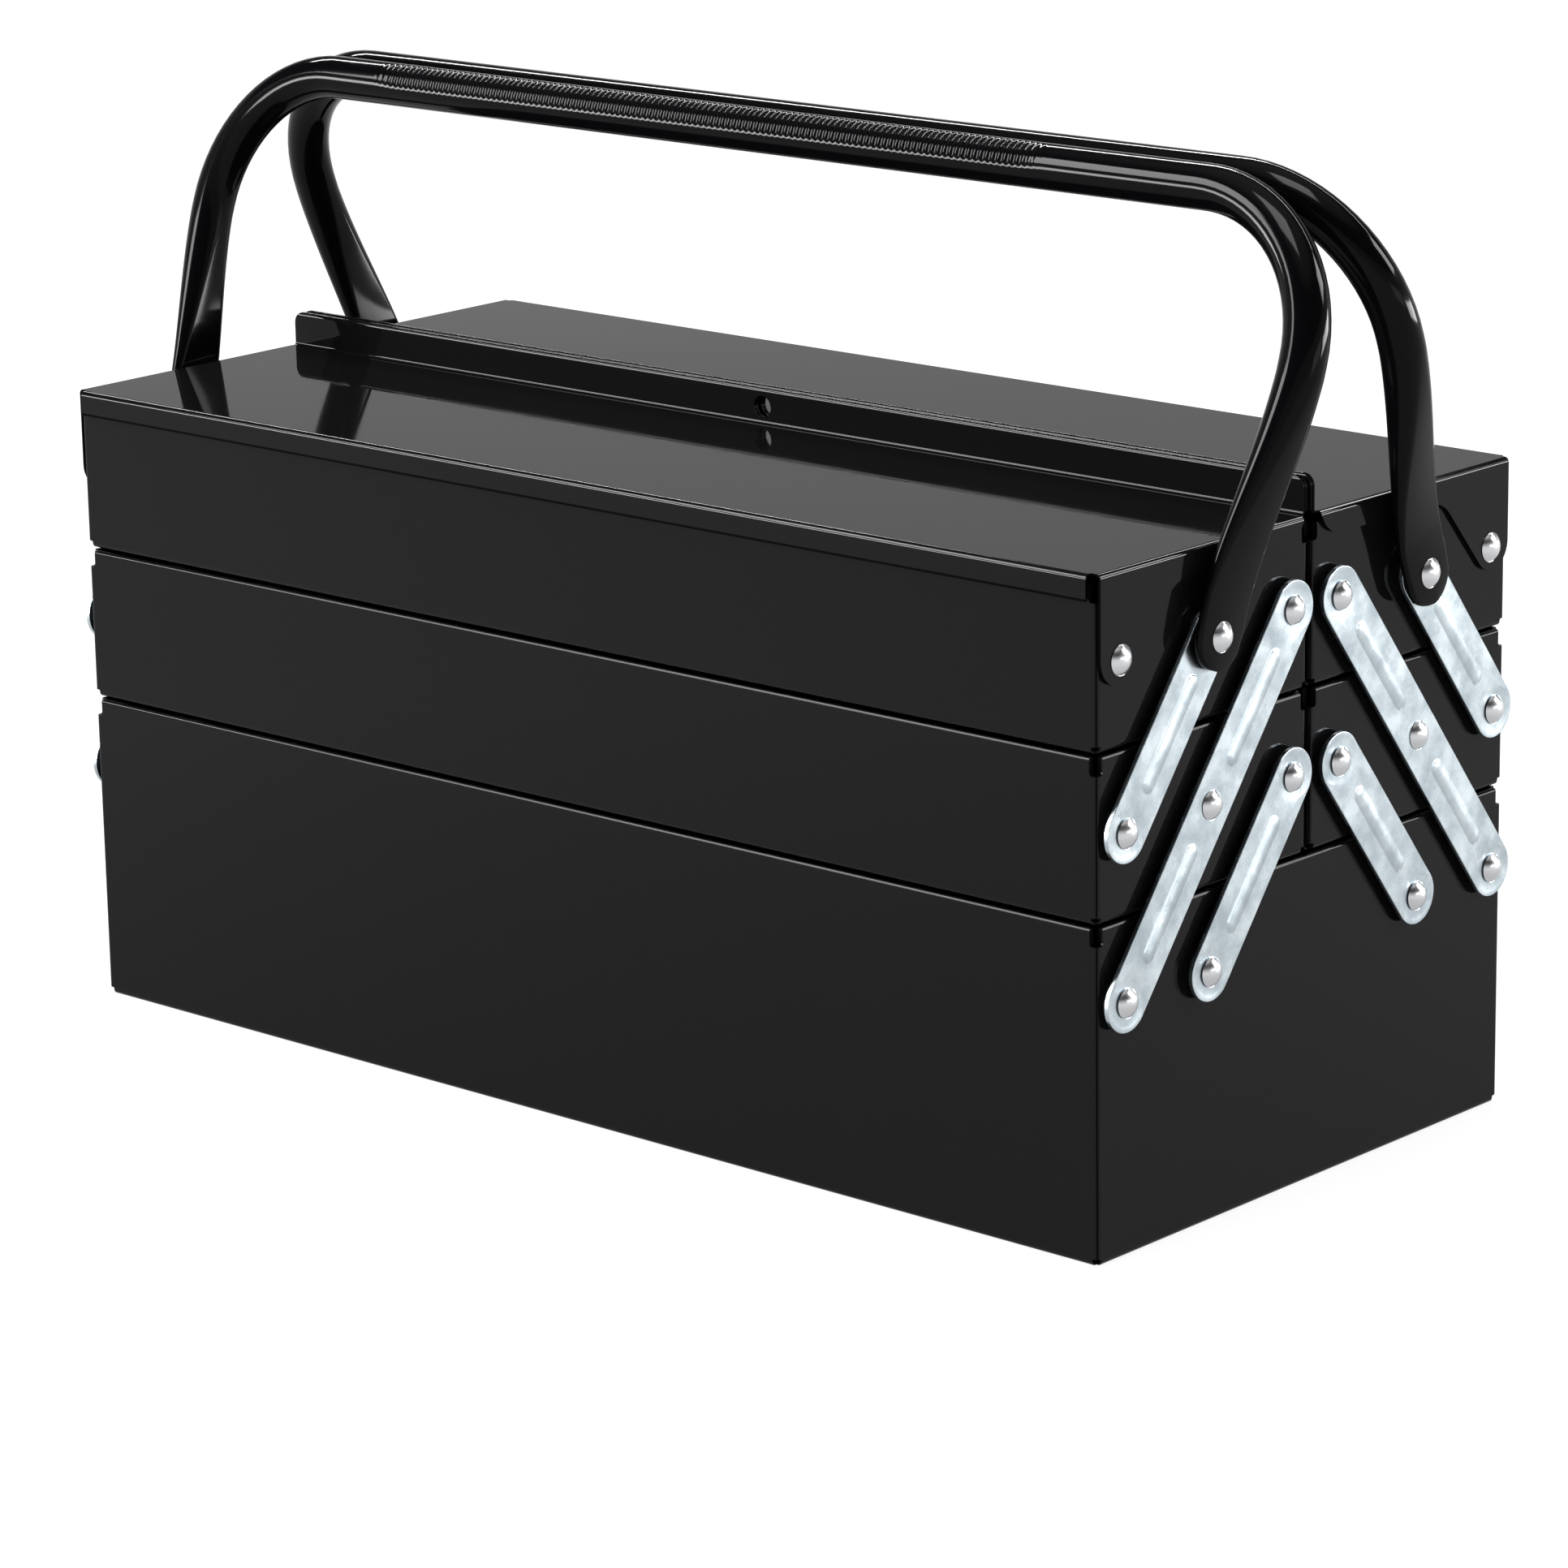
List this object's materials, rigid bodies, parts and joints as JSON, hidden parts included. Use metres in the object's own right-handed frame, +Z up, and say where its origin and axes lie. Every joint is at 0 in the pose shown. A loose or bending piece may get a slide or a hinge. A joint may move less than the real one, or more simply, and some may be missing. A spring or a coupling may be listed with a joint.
{
  "type": "cantilever tool box",
  "caption": "Black steel cantilever tool box: a deep bottom tray, half trays that swing out on flat riveted links, hinged lids with a padlock hole and folding tube handles.",
  "frame": {"origin": "middle of the bottom tray's underside, in the plane that the box stands on", "axes": "+X along the box's length, +Y from the front to the rear, +Z up"},
  "size_m": [0.474, 0.204, 0.3101],
  "materials": {
    "tray_enamel": "gloss black enamel on sheet steel",
    "handle_enamel": "gloss black enamel on steel tube",
    "zinc_plate": "zinc-plated steel, faintly mottled",
    "rivet_steel": "bright plated steel",
    "spacer_steel": "dark steel"
  },
  "bodies": {
    "base": {"base_tray": "tray_enamel", "base_rivets": "rivet_steel", "base_spacers": "spacer_steel"},
    "front_middle_tray": {"front_middle_tray": "tray_enamel", "front_middle_rivets": "rivet_steel", "front_middle_spacers": "spacer_steel"},
    "front_top_tray": {"front_top_tray": "tray_enamel", "front_top_rivets": "rivet_steel", "front_top_spacers": "spacer_steel", "front_handle_rivets": "rivet_steel", "front_lid_rivets": "rivet_steel", "front_handle_washers": "spacer_steel"},
    "front_lid": {"front_lid": "tray_enamel"},
    "front_handle": {"front_handle": "handle_enamel"},
    "front_long_link_right": {"front_long_link_right": "zinc_plate"},
    "front_long_link_left": {"front_long_link_left": "zinc_plate"},
    "front_lower_link_right": {"front_lower_link_right": "zinc_plate"},
    "front_lower_link_left": {"front_lower_link_left": "zinc_plate"},
    "front_upper_link_right": {"front_upper_link_right": "zinc_plate"},
    "front_upper_link_left": {"front_upper_link_left": "zinc_plate"},
    "rear_middle_tray": {"rear_middle_tray": "tray_enamel", "rear_middle_rivets": "rivet_steel", "rear_middle_spacers": "spacer_steel"},
    "rear_top_tray": {"rear_top_tray": "tray_enamel", "rear_top_rivets": "rivet_steel", "rear_top_spacers": "spacer_steel", "rear_handle_rivets": "rivet_steel", "rear_lid_rivets": "rivet_steel", "rear_handle_washers": "spacer_steel"},
    "rear_lid": {"rear_lid": "tray_enamel"},
    "rear_handle": {"rear_handle": "handle_enamel"},
    "rear_long_link_right": {"rear_long_link_right": "zinc_plate"},
    "rear_long_link_left": {"rear_long_link_left": "zinc_plate"},
    "rear_lower_link_right": {"rear_lower_link_right": "zinc_plate"},
    "rear_lower_link_left": {"rear_lower_link_left": "zinc_plate"},
    "rear_upper_link_right": {"rear_upper_link_right": "zinc_plate"},
    "rear_upper_link_left": {"rear_upper_link_left": "zinc_plate"}
  },
  "joints": [
    {"name": "front_fold", "type": "hinge", "parent": "base", "child": "front_long_link_right", "pos_m": [0, -0.0904, 0.0794], "axis": [1, 0, 0], "range_deg": [0, 75]},
    {"name": "front_middle_tray_pivot", "type": "hinge", "parent": "front_long_link_right", "child": "front_middle_tray", "pos_m": [0, -0.051, 0.1304], "axis": [1, 0, 0], "range_deg": [-75, 0]},
    {"name": "front_top_tray_pivot", "type": "hinge", "parent": "front_long_link_right", "child": "front_top_tray", "pos_m": [0, -0.0116, 0.1814], "axis": [1, 0, 0], "range_deg": [-75, 0]},
    {"name": "front_long_link_left_pivot", "type": "hinge", "parent": "base", "child": "front_long_link_left", "pos_m": [0, -0.0904, 0.0794], "axis": [1, 0, 0], "range_deg": [0, 75]},
    {"name": "front_lower_link_right_pivot", "type": "hinge", "parent": "base", "child": "front_lower_link_right", "pos_m": [0, -0.051, 0.0794], "axis": [1, 0, 0], "range_deg": [0, 75]},
    {"name": "front_lower_link_left_pivot", "type": "hinge", "parent": "base", "child": "front_lower_link_left", "pos_m": [0, -0.051, 0.0794], "axis": [1, 0, 0], "range_deg": [0, 75]},
    {"name": "front_upper_link_right_pivot", "type": "hinge", "parent": "front_middle_tray", "child": "front_upper_link_right", "pos_m": [0, -0.0904, 0.1304], "axis": [1, 0, 0], "range_deg": [0, 75]},
    {"name": "front_upper_link_left_pivot", "type": "hinge", "parent": "front_middle_tray", "child": "front_upper_link_left", "pos_m": [0, -0.0904, 0.1304], "axis": [1, 0, 0], "range_deg": [0, 75]},
    {"name": "front_lid_hinge", "type": "hinge", "parent": "front_top_tray", "child": "front_lid", "pos_m": [0, -0.0904, 0.1814], "axis": [1, 0, 0], "range_deg": [0, 120]},
    {"name": "front_handle_pivot", "type": "hinge", "parent": "front_top_tray", "child": "front_handle", "pos_m": [0, -0.051, 0.1814], "axis": [1, 0, 0], "range_deg": [0, 168]},
    {"name": "rear_fold", "type": "hinge", "parent": "base", "child": "rear_long_link_right", "pos_m": [0, 0.0904, 0.0794], "axis": [-1, 0, 0], "range_deg": [0, 75]},
    {"name": "rear_middle_tray_pivot", "type": "hinge", "parent": "rear_long_link_right", "child": "rear_middle_tray", "pos_m": [0, 0.051, 0.1304], "axis": [-1, 0, 0], "range_deg": [-75, 0]},
    {"name": "rear_top_tray_pivot", "type": "hinge", "parent": "rear_long_link_right", "child": "rear_top_tray", "pos_m": [0, 0.0116, 0.1814], "axis": [-1, 0, 0], "range_deg": [-75, 0]},
    {"name": "rear_long_link_left_pivot", "type": "hinge", "parent": "base", "child": "rear_long_link_left", "pos_m": [0, 0.0904, 0.0794], "axis": [-1, 0, 0], "range_deg": [0, 75]},
    {"name": "rear_lower_link_right_pivot", "type": "hinge", "parent": "base", "child": "rear_lower_link_right", "pos_m": [0, 0.051, 0.0794], "axis": [-1, 0, 0], "range_deg": [0, 75]},
    {"name": "rear_lower_link_left_pivot", "type": "hinge", "parent": "base", "child": "rear_lower_link_left", "pos_m": [0, 0.051, 0.0794], "axis": [-1, 0, 0], "range_deg": [0, 75]},
    {"name": "rear_upper_link_right_pivot", "type": "hinge", "parent": "rear_middle_tray", "child": "rear_upper_link_right", "pos_m": [0, 0.0904, 0.1304], "axis": [-1, 0, 0], "range_deg": [0, 75]},
    {"name": "rear_upper_link_left_pivot", "type": "hinge", "parent": "rear_middle_tray", "child": "rear_upper_link_left", "pos_m": [0, 0.0904, 0.1304], "axis": [-1, 0, 0], "range_deg": [0, 75]},
    {"name": "rear_lid_hinge", "type": "hinge", "parent": "rear_top_tray", "child": "rear_lid", "pos_m": [0, 0.0904, 0.1814], "axis": [-1, 0, 0], "range_deg": [0, 120]},
    {"name": "rear_handle_pivot", "type": "hinge", "parent": "rear_top_tray", "child": "rear_handle", "pos_m": [0, 0.051, 0.1814], "axis": [-1, 0, 0], "range_deg": [0, 168]}
  ],
  "couplings": [
    {"joint": "front_middle_tray_pivot", "follows": "front_fold", "ratio": -1},
    {"joint": "front_top_tray_pivot", "follows": "front_fold", "ratio": -1},
    {"joint": "front_long_link_left_pivot", "follows": "front_fold", "ratio": 1},
    {"joint": "front_lower_link_right_pivot", "follows": "front_fold", "ratio": 1},
    {"joint": "front_lower_link_left_pivot", "follows": "front_fold", "ratio": 1},
    {"joint": "front_upper_link_right_pivot", "follows": "front_fold", "ratio": 1},
    {"joint": "front_upper_link_left_pivot", "follows": "front_fold", "ratio": 1},
    {"joint": "rear_middle_tray_pivot", "follows": "rear_fold", "ratio": -1},
    {"joint": "rear_top_tray_pivot", "follows": "rear_fold", "ratio": -1},
    {"joint": "rear_long_link_left_pivot", "follows": "rear_fold", "ratio": 1},
    {"joint": "rear_lower_link_right_pivot", "follows": "rear_fold", "ratio": 1},
    {"joint": "rear_lower_link_left_pivot", "follows": "rear_fold", "ratio": 1},
    {"joint": "rear_upper_link_right_pivot", "follows": "rear_fold", "ratio": 1},
    {"joint": "rear_upper_link_left_pivot", "follows": "rear_fold", "ratio": 1}
  ]
}
